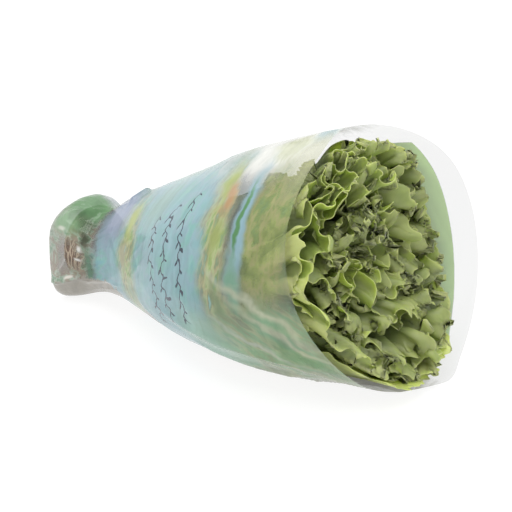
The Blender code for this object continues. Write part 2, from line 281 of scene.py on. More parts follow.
# How wide a leaf is along its length, and how far along the head its length has come.
LEAF_WIDTH = np.array([(0, 0.13), (0.2, 0.16), (0.4, 0.45), (0.62, 0.86), (0.8, 1), (1.2, 1)])
LEAF_RISE = np.array([(0, 0), (0.35, 0.38), (0.7, 0.84), (0.84, 0.95), (0.93, 0.99), (1.1, 1.01)])
# Length of the flat leaf, and the shares of it by which its end is rounded and from where its
# waves run out.
LEAF_LENGTH = 200.0
ROUND_END = 0.13
FAN_START = 0.45
# Waves round the fan, their height and their sideways roll. The frill at the margin has waves
# this many times finer, and low blisters cover the blade between them.
WAVES = (13.0, 6.0)
WAVE_HEIGHT = (5.5, 2.5)
WAVE_ROLL = 1.8
FRILL_FINER = 2.6
FRILL_HEIGHT = 2.6
FRILL_ROLL = 0.6
BLISTER_HEIGHT = 0.9
# The margin is cut into lobes and teeth, each this deep as a share of the leaf, and the bays
# between them lie this much further in than the plain leaf's edge.
LOBE_DEPTH = 0.05
BAYS_INSIDE = 0.03
# How far the leaf tips reach from the closed end, by their height. The heart stands a little
# further out, each tip is a little longer or shorter, and the leaves at the back of the
# sleeve, where its film is longest, are longer.
FACE = np.array([(8, 347), (30, 337), (50, 317), (80, 301), (120, 291), (165, 287), (200, 268)])
HEART_PROUD = 8.0
TIP_VARIES = 6.0
BACK_LONGER = 12.0
# A leaf's layer is a share of the way out to the film, read at this distance for its tip.
TIP_AT = 300.0
TIP_LAYER = 0.9
# How far out the outermost leaves lie, as a share of the way to the film, and how much more
# where they are pressed down on it. Behind the mouth the upper ones lie deeper, by up to this
# share, which grows from this distance back over this length.
ROOM = (0.95, 0.07)
DEEPER_ABOVE = 0.4
DEEPER_FROM = 270.0
DEEPER_OVER = 90.0
# How far the last third bends outward, how much more inside the head, and by which share less
# where the leaves are pressed down.
BEND = 14.0
INNER_BEND = 34.0
PRESSED_BENDS_LESS = 0.8
# How far an inner leaf stands askew, and how tightly a leaf may curl round the middle.
TWIST = 0.35
TIGHTEST = 22.0
# The leaves keep this clear of the film, and from this share of the way out to there it eases
# them in.
CLEAR_OF_FILM = 2.6
FREE_SHARE = 0.9
HALVINGS = 24
# How light the open margin is painted; the blade deeper in is painted darker, a painted shade.
# Leaf that lies along the film is painted lighter, up to 1, as painted light.
MARGIN_PAINTED_LIGHT = 0.85
# Half width of the middle rib at the leaf's foot, and what the leaf's end adds.
RIB_HALF_WIDTH = (5.0, -4.0)
FOOT_PALE = 0.8


def share_of_section(points):
    """How far out each point lies, as a share of the way from the centre to the film.

    The range of shares is halved again and again, towards the one by which the section has to
    be shrunk or grown to run through the point.
    """
    half, middle, ridge, shift, lift = section(points[..., 0])
    dy = np.abs(points[..., 1] - shift)
    dz = points[..., 2] - middle
    tall = np.where(dz > 0, ridge - middle, middle - lift + PRESSED)
    dz = np.abs(dz)
    top = np.where(points[..., 2] > middle, dz / (np.hypot(dy, dz) + 1e-9), 0)
    power = 2 / (1 + SEAM_POINT * top)
    low = np.full(dy.shape, 0.001)
    high = np.full(dy.shape, 3.0)
    for _ in range(HALVINGS):
        share = (low + high) / 2
        outside = (dz / (tall * share)) ** 2 + (dy / (half * share)) ** power > 1
        low = np.where(outside, share, low)
        high = np.where(outside, high, share)
    return share


def held_inside(points):
    """Points eased in towards the section's centre where they come near the film.

    A share of the way out past the free one is squeezed, so that it never reaches the limit.
    """
    lift = section(points[..., 0])[4]
    share = share_of_section(points)
    limit = 1 - CLEAR_OF_FILM / section(points[..., 0])[0]
    free = FREE_SHARE * limit
    past = np.maximum(share - free, 0)
    zone = limit - free
    kept = np.minimum(share, free) + zone * past / (past + zone)
    centre = middle_of(points[..., 0])
    moved = centre + (points - centre) * (kept / share)[..., None]
    moved[..., 2] = np.maximum(moved[..., 2], lift + CLEAR_OF_FILM)
    return moved


def unit(vectors):
    """Vectors brought to length 1."""
    return vectors / (np.linalg.norm(vectors, axis=-1, keepdims=True) + 1e-9)


def ruffle(points, phase, height, overhang):
    """A wave along the grid's normals, with a sideways part that rounds it into loops.

    The wave is a sine of the phase, and the sideways part a sine of twice the phase.
    """
    down = np.gradient(points, axis=0)
    across = np.gradient(points, axis=1)
    normal = unit(np.cross(across, down))
    wave = normal * (height * np.sin(phase))[..., None]
    return points + wave - unit(across) * (overhang * np.sin(2 * phase))[..., None]


def cusps(phase):
    """Pointed tips with round bays between them, from 0 to 1: 1 less the size of a sine."""
    return 1 - np.abs(np.sin(phase))


def leaf_outline(number, layer, s, t):
    """Where a leaf's grid lies on the flat leaf, how it grows there, its waves and its margin.

    The flat leaf is a fan on a short stalk. Its waves run out from the blade's middle. The
    margin share rises to 1 at its edge, which is cut into pointed lobes with smaller teeth.
    """
    plain = t * (1 - ROUND_END * s**2)
    half_width = LEAF_HALF_WIDTH[0] + LEAF_HALF_WIDTH[1] * layer
    plain_width = half_width * curve(plain, LEAF_WIDTH, 1)
    fan = np.arctan2(s * plain_width, (plain - FAN_START) * LEAF_LENGTH)
    margin = np.maximum(np.abs(s) * smooth((plain - 0.35) / 0.25), t)
    waves = WAVES[0] + WAVES[1] * layer
    phase = waves * fan + 1.7 * number + 0.9 * np.sin(2.3 * fan + 2.1 * number)
    phase = phase + 1.2 * np.sin(12 * plain + 1.3 * number)
    cut = LOBE_DEPTH * cusps(phase + np.pi / 2) + LOBE_DEPTH * cusps(1.5 * phase)
    grow = 1 + (cut - BAYS_INSIDE) * smooth((margin - 0.8) / 0.2)
    return plain, plain_width, grow, phase, margin


def leaf_in_head(number, layer, s, along, width):
    """Points of a leaf before its ruffles, from its flat place and width.

    The leaf leaves the stem and follows its layer of the head, a set share of the way out to
    the film. It turns outward near its edge, stands a little askew, and ends on the slanted
    face of all the leaves.
    """
    turn = number * TURN + TURN_VARIES * np.sin(12.9898 * number + 4.1)
    # Each part of the fan meets the slanted face at its own height.
    centre = middle_of(np.array(TIP_AT))
    reach = TIP_LAYER * layer * np.linalg.norm(film(np.array(TIP_AT), turn) - centre)
    tip_turn = turn + s * width / max(reach, TIGHTEST)
    tip = centre + TIP_LAYER * layer * (film(np.array(TIP_AT), tip_turn) - centre)
    tip_x = curve(tip[..., 2], FACE, 1) + HEART_PROUD * (1 - layer**2)
    tip_x = tip_x + TIP_VARIES * np.sin(7.3 * number)
    tip_x = tip_x + BACK_LONGER * layer * (0.5 - 0.5 * np.cos(tip_turn))
    foot_x = LEAF_FOOT[0] + LEAF_FOOT[1] * layer
    x = foot_x + (tip_x - foot_x) * curve(along, LEAF_RISE, 1)

    open_up = smooth(along / 0.5)
    # The low leaves are pressed along the film, so they lie closer to it and bend less.
    pressed = smooth(0.3 - np.sin(turn))
    outer_bend = BEND * layer * (1 - PRESSED_BENDS_LESS * pressed)
    bend = outer_bend + INNER_BEND * layer * (1 - layer**3)
    flare = bend * (smooth((along - 0.64) / 0.54) - 0.75)
    radius = np.linalg.norm(film(x, np.full_like(x, turn)) - middle_of(x), axis=-1)
    room = ROOM[0] + ROOM[1] * pressed
    room = room - DEEPER_ABOVE * smooth((DEEPER_FROM - x) / DEEPER_OVER) * smooth(np.sin(turn))
    foot = (STEM_RADIUS - FOOT_SUNK) * (1 - open_up)
    rho = foot + open_up * (room * layer * radius + flare)
    twist = TWIST * np.sin(5.1 * number + 1) * (1 - layer**3)
    rho = rho + twist * s * width * smooth((along - 0.3) / 0.4)
    angle = turn + s * width / np.maximum(np.abs(rho), TIGHTEST)
    return middle_of(x) + (film(x, angle) - middle_of(x)) * (rho / radius)[..., None]


def leaf_surface(number):
    """Points of one leaf as a grid, rows from its foot to its edge, its painted light level and
    rib shares.

    Three waves that run out from the blade's middle ruffle it, finer and later towards the
    edge. A sine of its number sets each leaf's turn, tip, twist and waves apart from the next.
    """
    layer = ((number + 0.3) / LEAVES) ** 0.5
    s = np.linspace(-1, 1, LEAF_COLUMNS)[None, :]
    t = 1 - (1 - np.linspace(0, 1, LEAF_ROWS)[:, None]) ** 1.5
    plain, plain_width, grow, phase, margin = leaf_outline(number, layer, s, t)
    points = leaf_in_head(number, layer, s, plain * grow, plain_width * grow)

    # The film presses the waves flatter where the leaf comes near it.
    calm = 1 - 0.35 * smooth((share_of_section(points) - 0.78) / 0.16)
    edge = smooth((margin - 0.5) / 0.5) * calm
    upper = smooth((plain - 0.4) / 0.3)
    blisters = np.sin(26 * plain + 3 * number + 2 * np.sin(phase))
    height = WAVE_HEIGHT[0] + WAVE_HEIGHT[1] * layer
    fine = FRILL_FINER * phase + 0.9 * number
    points = ruffle(points, 1.6 * phase + number, BLISTER_HEIGHT * upper * blisters, 0)
    points = ruffle(points, phase, height * edge, WAVE_ROLL * edge)
    points = ruffle(points, fine, FRILL_HEIGHT * edge**3, FRILL_ROLL * edge**3)
    # Leaf near the film is painted lighter, up to 1, to make up for the light that the film holds
    # back: painted light, not the leaf's own colour.
    painted_light_by_film = smooth((share_of_section(points) - 0.72) / 0.2)
    light = np.maximum(MARGIN_PAINTED_LIGHT * np.broadcast_to(margin, edge.shape), painted_light_by_film)
    # The thick middle rib is pale, widest at the foot, and runs out in the upper blade.
    rib_width = RIB_HALF_WIDTH[0] + RIB_HALF_WIDTH[1] * plain
    rib = np.exp(-((s * plain_width / rib_width) ** 2)) * (1 - smooth((plain - 0.4) / 0.5))
    foot = 1 - smooth((plain - 0.05) / 0.25)
    return held_inside(points), light, np.maximum(rib, FOOT_PALE * foot)


def add(tree, kind, settings=None, links=None):
    """A node of that kind, with input or property values set and inputs linked to outputs."""
    node = tree.nodes.new(kind)
    for name, value in (settings or {}).items():
        if isinstance(name, str) and name not in node.inputs:
            setattr(node, name, value)
        else:
            node.inputs[name].default_value = value
    for name, source in (links or {}).items():
        tree.links.new(source, node.inputs[name])
    return node


# Soft living leaf, smooth and a little waxy, so it shines softly and lets light glow through.
# Pale yellow-green at the frill. Deep between the leaves it is painted greyer and darker, a
# painted shade, and where it lies on the film it is painted lighter, a painted light.
leaf, leaf_shader = new_material("lettuce leaf")
leaf_tree = leaf.node_tree
leaf_place = add(leaf_tree, "ShaderNodeTexCoord")
leaf_painted_light = add(leaf_tree, "ShaderNodeAttribute", {"attribute_name": "painted_light_level"})
# Object coordinates are metres, so this makes patches of 28 mm.
leaf_patches = add(
    leaf_tree,
    "ShaderNodeTexNoise",
    {"Scale": A_METRE / 28, "Detail": 3.0, "Roughness": 0.6},
    {"Vector": leaf_place.outputs["Object"]},
)
leaf_mixed = add(
    leaf_tree,
    "ShaderNodeMath",
    {"operation": "MULTIPLY_ADD", 1: 0.5, 2: -0.25},
    {0: leaf_patches.outputs["Fac"]},
)
leaf_level = add(
    leaf_tree,
    "ShaderNodeMath",
    {"operation": "ADD"},
    {0: leaf_painted_light.outputs["Fac"], 1: leaf_mixed.outputs[0]},
)
# The ramp turns the painted light level into colour: dark deep between the leaves as painted
# shade, light at the margin and on the film as painted light.
leaf_tone = add(leaf_tree, "ShaderNodeValToRGB", links={"Fac": leaf_level.outputs[0]})
leaf_ramp = leaf_tone.color_ramp
leaf_ramp.elements[0].position = 0.32
leaf_ramp.elements[0].color = linear("3C4730")
leaf_ramp.elements[1].position = 1.0
leaf_ramp.elements[1].color = linear("A6B565")
for place, colour in ((0.52, "57663F"), (0.7, "76864C"), (0.85, "93A25A")):
    leaf_ramp.elements.new(place).color = linear(colour)
# The very margin is paler still, and leaf that lies on the film is paler as painted light. In a
# mix of colours, input 0 is the share and 6 and 7 are the two colours.
leaf_rim_and_painted_light = add(
    leaf_tree,
    "ShaderNodeMapRange",
    {"interpolation_type": "SMOOTHSTEP", "From Min": 0.835, "From Max": 0.85, "To Max": 0.45},
    {"Value": leaf_painted_light.outputs["Fac"]},
)
leaf_colour = add(
    leaf_tree,
    "ShaderNodeMix",
    {"data_type": "RGBA", 7: linear("BAC679")},
    {0: leaf_rim_and_painted_light.outputs["Result"], 6: leaf_tone.outputs["Color"]},
)
leaf_rib = add(leaf_tree, "ShaderNodeAttribute", {"attribute_name": "rib"})
leaf_ribbed = add(
    leaf_tree,
    "ShaderNodeMix",
    {"data_type": "RGBA", 7: linear("BFC98E")},
    {0: leaf_rib.outputs["Fac"], 6: leaf_colour.outputs[2]},
)
leaf_tree.links.new(leaf_ribbed.outputs[2], leaf_shader.inputs["Base Color"])
leaf_shader.inputs["Roughness"].default_value = 0.5
leaf_shader.inputs["Subsurface Weight"].default_value = 0.5
leaf_shader.inputs["Subsurface Radius"].default_value = (0.005, 0.007, 0.002)
leaf_shader.inputs["Subsurface Scale"].default_value = 1.0

leaf_uv = np.stack(
    np.meshgrid(np.linspace(0, 1, LEAF_COLUMNS), np.linspace(0, 1, LEAF_ROWS)), -1
)
# The leaves come in five groups, which keeps each piece under 200,000 triangles.
for group, numbers in (
    ("heart_leaves", range(0, 6)),
    ("inner_leaves", range(6, 12)),
    ("middle_leaves", range(12, 18)),
    ("wide_leaves", range(18, 25)),
    ("outer_leaves", range(25, LEAVES)),
):
    made = [leaf_surface(number) for number in numbers]
    points, painted_light_level, rib = [np.stack(part) for part in zip(*made)]
    uv = np.broadcast_to(leaf_uv, (*points.shape[:3], 2))
    leaves = surface(group, points, uv, leaf, layers={"painted_light_level": painted_light_level, "rib": rib})
    blade = leaves.modifiers.new("blade", "SOLIDIFY")
    blade.thickness = LEAF_THICKNESS / A_METRE
    blade.offset = 0
    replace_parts(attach(leaves, "root"), "lettuce_head")

# The short stem: a pale stub, 22 mm thick, that tapers up between the leaf feet. Its rings
# are distances from the closed end and shares of its radius, and it has low ribs.
STEM_RINGS = np.array(
    [(24, 0), (24.01, 0.9), (30, 0.93), (40, 1.0), (56, 1.25), (72, 1.2), (88, 0.9), (104, 0.02)]
)
STEM_ROWS = 60
STEM_SIDES = 48
STEM_RIBS = 8
STEM_RIB_HEIGHT = 0.03


def merge_points(piece, within=1e-6):
    """Joins points that lie within that many metres of each other, as at a pole."""
    bm = bmesh.new()
    bm.from_mesh(piece.data)
    bmesh.ops.remove_doubles(bm, verts=bm.verts, dist=within)
    bm.to_mesh(piece.data)
    bm.free()


# Moist, pale green flesh, smooth and softly shiny, that lets a little light in.
stem_flesh, stem_shader = new_material("lettuce stem")
stem_shader.inputs["Base Color"].default_value = linear("C3CB96")
stem_shader.inputs["Roughness"].default_value = 0.45
stem_shader.inputs["Subsurface Weight"].default_value = 0.2
stem_shader.inputs["Subsurface Radius"].default_value = (0.004, 0.004, 0.002)
stem_shader.inputs["Subsurface Scale"].default_value = 1.0

stem_length = np.linspace(STEM_RINGS[1, 0], STEM_RINGS[-1, 0], STEM_ROWS)
stem_x = np.concatenate([STEM_RINGS[:1, 0], stem_length])[:, None]
stem_angle = np.linspace(0, 2 * np.pi, STEM_SIDES, endpoint=False)[None, :]
stem_radius = STEM_RADIUS * np.interp(stem_x, STEM_RINGS[:, 0], STEM_RINGS[:, 1])
stem_ribs = np.sin(STEM_RIBS * stem_angle + stem_x / 20)
stem_radius = stem_radius * (1 + STEM_RIB_HEIGHT * stem_ribs)
stem_middle = middle_of(np.maximum(stem_x, BALL_END))
stem_points = np.stack(
    np.broadcast_arrays(
        stem_x,
        stem_middle[..., 1] - stem_radius * np.cos(stem_angle),
        stem_middle[..., 2] + stem_radius * np.sin(stem_angle),
    ),
    -1,
)
stem_round = np.linspace(0, 1, STEM_SIDES + 1)
stem_uv = np.stack(np.meshgrid(stem_round, np.linspace(0, 1, len(stem_x))), -1)
stem = surface("stem", stem_points, stem_uv, stem_flesh, closed_round=True)
merge_points(stem)
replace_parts(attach(stem, "root"), "lettuce_head")

# The root ball
# A pressed block of brown peat, 67 mm across and 33 mm thick, bound by pale hair roots that
# run over it. The stem stands in it.

BALL_START = 5.0
# Half its width and height, and where its middle lies across and up.
BALL_HALF = (33.0, 34.0)
BALL_MIDDLE = (0.0, 45.0)
# Its form: shares of its thickness and of its half sizes.
BALL_SHARES = np.array(
    [(0, 0), (0.001, 0.5), (0.03, 0.78), (0.12, 0.93), (0.25, 0.99), (0.4, 1.0), (0.55, 0.98)]
    + [(0.7, 0.93), (0.84, 0.84), (0.95, 0.66), (0.999, 0.46), (1.0, 0.33)]
)
BALL_ROWS = 60
BALL_SIDES = 120
ROOTS = 46
ROOT_RADIUS = (0.35, 0.8)
ROOT_STEPS = 36
ROOT_SIDES = 6
ROOT_SEED = 7


def ball_face(along, angle):
    """Point of the block at a share of its thickness and an angle round it, with its lumps.

    It is an ellipse whose size follows the table, and sines of both raise lumps and crumbs.
    """
    share = np.interp(along, BALL_SHARES[:, 0], BALL_SHARES[:, 1])
    lumps = 0.025 * np.sin(3 * angle + 4 * along) + 0.02 * np.sin(7 * angle - 9 * along)
    crumbs = 0.012 * np.sin(23 * angle + 31 * along) * np.sin(41 * along - 9 * angle + 2)
    share = share * (1 + (lumps + crumbs) * np.sin(np.pi * np.clip(along, 0.05, 0.95)))
    x = BALL_START + (BALL_END - BALL_START) * along
    y = BALL_MIDDLE[0] - BALL_HALF[0] * share * np.cos(angle)
    z = BALL_MIDDLE[1] + BALL_HALF[1] * share * np.sin(angle)
    return np.stack(np.broadcast_arrays(x, y, z), -1)


# Damp peat: dull crumbs of dark and light brown, 1 to 4 mm, with rough relief.
peat, peat_shader = new_material("peat")
peat_tree = peat.node_tree
peat_place = add(peat_tree, "ShaderNodeTexCoord")
peat_crumbs = add(
    peat_tree,
    "ShaderNodeTexNoise",
    {"Scale": A_METRE / 4, "Detail": 6.0, "Roughness": 0.7},
    {"Vector": peat_place.outputs["Object"]},
)
peat_tone = add(peat_tree, "ShaderNodeValToRGB", links={"Fac": peat_crumbs.outputs["Fac"]})
peat_tone.color_ramp.elements[0].position = 0.3
peat_tone.color_ramp.elements[0].color = linear("3B2A20")
peat_tone.color_ramp.elements[1].position = 0.7
peat_tone.color_ramp.elements[1].color = linear("9A7A62")
peat_relief = add(
    peat_tree,
    "ShaderNodeBump",
    {"Strength": 0.8, "Distance": 0.001},
    {"Height": peat_crumbs.outputs["Fac"]},
)
peat_tree.links.new(peat_tone.outputs["Color"], peat_shader.inputs["Base Color"])
peat_tree.links.new(peat_relief.outputs["Normal"], peat_shader.inputs["Normal"])
peat_shader.inputs["Roughness"].default_value = 0.95

ball_body = np.linspace(0.01, 0.99, BALL_ROWS)
ball_along = np.concatenate([[0, 0.001], ball_body, [0.999, 1.0]])[:, None]
ball_angle = np.linspace(0, 2 * np.pi, BALL_SIDES, endpoint=False)[None, :]
ball_uv = np.stack(np.meshgrid(np.linspace(0, 1, BALL_SIDES + 1), ball_along[:, 0]), -1)
block = surface("peat_block", ball_face(ball_along, ball_angle), ball_uv, peat, closed_round=True)
merge_points(block)
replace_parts(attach(block, "root"), "root_ball")

# Hair roots: thin, pale and a little shiny, half sunk in the peat.
root_skin, root_shader = new_material("lettuce roots")
root_shader.inputs["Base Color"].default_value = linear("D9C7AE")
root_shader.inputs["Roughness"].default_value = 0.55
drawn = np.random.default_rng(ROOT_SEED)
step = np.linspace(0, 1, ROOT_STEPS)
rim = np.linspace(0, 2 * np.pi, ROOT_SIDES, endpoint=False)[None, :, None]
root_grids = []
# Each root starts anywhere on the block, wanders along it and runs part of the way round it.
for _ in range(ROOTS):
    start_along = drawn.uniform(0.1, 0.9)
    start_angle = drawn.uniform(0, 2 * np.pi)
    lean = drawn.uniform(-0.3, 0.3)
    bend = drawn.uniform(0.6, 1.6)
    wave = drawn.uniform(0, 6)
    root_along = start_along + lean * step + 0.05 * np.sin(9 * step + wave)
    root_along = np.clip(root_along, 0.06, 0.94)
    root_angle = start_angle + bend * step + 0.12 * np.sin(7 * step + 2 * wave)
    line = ball_face(root_along, root_angle)
    ahead = unit(np.gradient(line, axis=0))
    outward = unit((line - (0, *BALL_MIDDLE)) * (0, 1, 1))
    side = unit(np.cross(ahead, outward))
    thick = drawn.uniform(*ROOT_RADIUS) * np.sin(np.pi * np.clip(step, 0.04, 0.96)) ** 0.4
    ring = np.cos(rim) * outward[:, None] + np.sin(rim) * side[:, None]
    root_grids.append(line[:, None] + ring * thick[:, None, None])
root_uv = np.stack(
    np.meshgrid(np.linspace(0, 1, ROOT_SIDES + 1), np.linspace(0, 1, ROOT_STEPS)), -1
)
root_uv = np.broadcast_to(root_uv, (ROOTS, *root_uv.shape))
roots = surface("hair_roots", np.stack(root_grids), root_uv, root_skin, closed_round=True)
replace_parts(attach(roots, "root"), "root_ball")

# The sleeve
# A flat bag of clear heat-sealed film, 0.04 mm thick, 304 mm across its mouth and 140 mm at
# the other end. It is printed with soft paint strokes in blue, green and cream that leave a
# clear window at the mouth, and it is crinkled where it is gathered at the neck.

# The film lies this far in from the outer face of the space, inside the solid's wall.
FILM_INSET = 0.5
FILM_AROUND = 300
FILM_ALONG = 200
DOME_ROWS = 16
DOME_DEPTH = 3.0
# The pattern's UV square starts here, in millimetres along and degrees round, and is this big.
UV_START = (-10.0, -110.0)
UV_SIZE = (400.0, 360.0)
# The neck's middle and how far its creases reach, and where those of the low side begin.
NECK_AT = 42.0
NECK_REACH = 26.0
LOW_SIDE_FROM = 120.0
# Creases: height, where they are, spacing along the sleeve, lines round it and a seed.
CREASES = (
    (1.6, "neck", 60.0, 7.0, 0.4),
    (1.2, "neck", -35.0, 11.0, 1.9),
    (1.1, "low side", 28.0, 9.0, 2.6),
    (0.7, "low side", 19.0, -12.0, 4.2),
    (0.5, "all over", 16.0, 6.0, 3.3),
    (0.35, "all over", -11.0, 9.0, 5.1),
)
# The sealed edge of the closed end stands out as a lip: height, place and half width in
# degrees round, and the distance at which it has faded out.
LIP_HEIGHT = 1.6
LIP_TURN = -20.0
LIP_HALF_WIDTH = 3.5
LIP_END = 82.0


def ridges(x, degrees, lengthwise, crosswise, seed):
    """Creases as sharp ridges from 0 to 1 along wandering lines of a given spacing.

    Each is 1 less the size of a sine, cubed. Slow sines bend the lines and break them up.
    """
    drift = 1.3 * np.sin(x / 31 + seed) + 0.9 * np.sin(degrees / 23 + 2 * seed + x / 57)
    line = np.sin(x / lengthwise + np.radians(degrees) * crosswise + drift)
    patches = smooth(0.5 + 0.9 * np.sin(x / 41 + 3 * seed) * np.sin(degrees / 29 + seed))
    return (1 - np.abs(line)) ** 3 * patches


def crinkle(x, angle):
    """How far the film stands out, in millimetres: creases, and the lip of the sealed edge.

    Each row of the table adds its height, times its place's share there, times its ridges.
    The lip is a bell across the seam.
    """
    degrees = np.degrees(angle)
    shares = {
        "neck": np.exp(-(((x - NECK_AT) / NECK_REACH) ** 2)),
        "low side": smooth((x - LOW_SIDE_FROM) / 90) * smooth((-np.sin(angle) + 0.1) / 0.4),
        "all over": 1.0,
    }
    total = 0.0
    for height, place, lengthwise, crosswise, seed in CREASES:
        total = total + height * shares[place] * ridges(x, degrees, lengthwise, crosswise, seed)
    lip = np.exp(-(((degrees - LIP_TURN) / LIP_HALF_WIDTH) ** 2))
    total = total + LIP_HEIGHT * lip * smooth((LIP_END - x) / 20)
    # The film is smooth at its mouth.
    return total * smooth((mouth(angle) - x) / 12)


# Clear, glossy polypropylene film with opaque ink on it. The ink is laid on in soft oval
# strokes, each with a centre in millimetres from the closed end and degrees round, half sizes,
# a lean in degrees, a softness, a colour or a mixed paint, and how much it covers. Later
# strokes lie over earlier ones.
film_plastic, film_shader = new_material("printed clear film")
film_tree = film_plastic.node_tree
STROKES = (
    # The wide blue wash from the neck to the belly, paler and whiter over the top.
    (128, 0, 92, 100, 0, 0.16, "wash", 0.93),
    (168, -30, 40, 30, 0, 0.7, "8ABBC2", 0.95),
    (96, 180, 92, 86, 0, 0.5, "wash", 0.7),
    (62, 52, 20, 30, 0, 0.6, "A9B6CE", 0.85),
    (122, 52, 16, 18, 0, 0.7, "9CC6BE", 0.9),
    (235, 84, 56, 32, 0, 0.35, "FBFCF4", 0.82),
    (200, 70, 12, 12, 0, 0.6, "A8D0CC", 0.6),
    (268, 84, 9, 12, 0, 0.6, "BCDDE0", 0.6),
    (246, 74, 14, 9, 0, 0.6, "DDE3AE", 0.6),
    (150, 94, 45, 20, 0, 0.5, "BFDAD2", 0.8),
    # The first band, mottled green and beige.
    (95, 2, 12, 62, 10, 0.7, "mottled", 0.92),
    (87, 40, 5, 15, 4, 0.8, "C4D07E", 0.92),
    (88, 12, 5, 12, 5, 0.8, "BDBB98", 0.92),
    (101, -18, 6, 11, 12, 0.8, "A0B898", 0.9),
    (118, -44, 8, 10, 10, 0.8, "BFA9A4", 0.8),
    # The clear window behind the third band is veiled with soft yellow-green.
    (264, 24, 26, 40, 0, 0.5, "window", 0.58),
    (270, 60, 10, 16, 0, 0.7, "DADCB0", 0.5),
    # The second band, mottled yellow-green with orange and olive.
    (222, 12, 12, 62, 20, 0.55, "mottled", 0.85),
    (208, 54, 5, 12, 16, 0.8, "B9C76A", 0.9),
    (216, 44, 4, 7, 16, 0.8, "D9AE7C", 0.85),
    (219, 24, 5, 9, 16, 0.8, "AEBB6E", 0.9),
    (232, -8, 5, 13, 22, 0.8, "8FA278", 0.85),
    (238, -28, 6, 9, 20, 0.8, "7F955E", 0.85),
    # The third band, blue with two green blades.
    (239, 30, 7, 30, 8, 0.5, "A4CBD8", 0.82),
    (237, 33, 2.2, 17, 3, 0.5, "5F9C62", 0.9),
    (243, 2, 3, 12, 20, 0.6, "8DBFA4", 0.8),
    # The low side is veiled by pale blades. Its thin pale lines are painted highlights on the
    # film's glossy wrinkles.
    (286, -46, 74, 38, -8, 0.3, "blades", 0.75),
    (274, -17, 16, 6, -24, 0.8, "9BCBA4", 0.7),
    (296, -38, 24, 5, -24, 0.8, "7CB57E", 0.7),
    # Thin pale lines: painted highlights on glossy wrinkles of the film.
    (266, -9, 44, 1.8, -23, 0.9, "DFE6C8", 0.7),
    (282, -23, 38, 1.5, -25, 0.9, "D9E3C2", 0.7),
    (252, -27, 30, 1.4, -23, 0.9, "D6E2CE", 0.7),
    (210, -36, 30, 18, -20, 0.8, "B8E0CC", 0.8),
    # Another thin pale line: a painted highlight on a wrinkle.
    (300, -52, 26, 1.6, -20, 0.9, "D5DFC0", 0.7),
    # The fold along the bottom, beige and grey.
    (235, -82, 120, 26, 0, 0.3, "C2BDB0", 0.85),
    (190, -60, 60, 4, -6, 0.6, "D8CCC0", 0.85),
    # The closed end: mossy down its side, green over its top, pale along its lower fold, with
    # painted shade in the hollows of its gathered neck and painted glints.
    (10, 24, 30, 66, 0, 0.3, "moss", 0.7),
    (2, 60, 14, 40, 0, 0.6, "A9B49E", 0.6),
    (24, 78, 18, 34, 0, 0.3, "6FA06B", 0.9),
    # Dark olive dab: painted shade in a hollow where the film is gathered at the neck.
    (28, 44, 7, 12, 10, 0.7, "55704F", 0.75),
    (36, -6, 4, 22, 6, 0.7, "6C9C80", 0.75),
    (20, 6, 9, 12, 0, 0.7, "A9998C", 0.3),
    (14, 40, 12, 14, 0, 0.7, "8FBF8A", 0.7),
    # A darker dab: painted shade deep in a hollow of the gathered film.
    (31, 26, 4, 8, 12, 0.7, "48543C", 0.85),
    # Three small white dots: painted glints, painted highlights on the film.
    (29, 14, 1.6, 3, 0, 0.6, "FFFFFA", 0.9),
    (27, 2, 2.2, 2, 0, 0.6, "FFFFFA", 0.85),
    (19, -14, 2.4, 2, 0, 0.6, "FFF8EC", 0.8),
    (12, 30, 3, 3, 0, 0.7, "E8EEDC", 0.8),
    (30, -60, 54, 42, 0, 0.06, "C0BBAF", 0.8),
)
film_uv = add(film_tree, "ShaderNodeUVMap", {"uv_map": "UVMap"})
film_place = add(
    film_tree,
    "ShaderNodeVectorMath",
    {"operation": "MULTIPLY_ADD", 1: (*UV_SIZE, 0), 2: (*UV_START, 0)},
    {0: film_uv.outputs["UV"]},
)
film_spot = add(film_tree, "ShaderNodeTexCoord")
film_wander = add(
    film_tree,
    "ShaderNodeTexNoise",
    {"Scale": A_METRE / 30, "Detail": 3.0, "Roughness": 0.55},
    {"Vector": film_spot.outputs["Object"]},
)
# The noise's colour stays near 0.5, so this moves the strokes by a few millimetres.
film_shift = add(
    film_tree,
    "ShaderNodeVectorMath",
    {"operation": "MULTIPLY_ADD", 1: (20, 16, 0), 2: (-10, -8, 0)},
    {0: film_wander.outputs["Color"]},
)
film_drawn = add(
    film_tree,
    "ShaderNodeVectorMath",
    {"operation": "ADD"},
    {0: film_place.outputs["Vector"], 1: film_shift.outputs["Vector"]},
)
# Bristle marks run round the sleeve, 6 mm wide and 33 degrees long, and fray the strokes.
film_hairs = add(
    film_tree,
    "ShaderNodeVectorMath",
    {"operation": "MULTIPLY", 1: (0.16, 0.03, 0)},
    {0: film_drawn.outputs["Vector"]},
)
film_brush = add(
    film_tree,
    "ShaderNodeTexNoise",
    {"Scale": 1.0, "Detail": 5.0, "Roughness": 0.65},
    {"Vector": film_hairs.outputs["Vector"]},
)
film_frayed = add(
    film_tree,
    "ShaderNodeMath",
    {"operation": "MULTIPLY_ADD", 1: 0.6, 2: -0.3},
    {0: film_brush.outputs["Fac"]},
)
# Mixed paints, each with a lean in degrees, the size of its dabs, and its colours: a soft
# wash, short dabs across the sleeve, blades that lean down it, a window veil and moss.
PAINTS = (
    ("wash", 8, (34, 26, 1), ("8CCBBA", "92C4C6", "98C5CC", "A0C3CE", "92CBC4", "88BFC6")),
    ("mottled", -4, (7, 16, 1), ("7FB4A2", "A4C074", "CBD8A4", "C4BE90", "92A882", "A0CCC6")),
    ("blades", -24, (46, 9, 1), ("92A886", "AAB894", "9FCAA0", "C6D0A8", "A0B08E", "BACAAE")),
    ("window", -8, (16, 17, 1), ("8A9E60", "A4B66E", "BECC80", "D2D094", "AEC47A", "9ABA80")),
    ("moss", 20, (9, 12, 1), ("5A7F5E", "92BA98", "CAD8C6", "ABA58C", "B8A498", "8ABA94")),
)
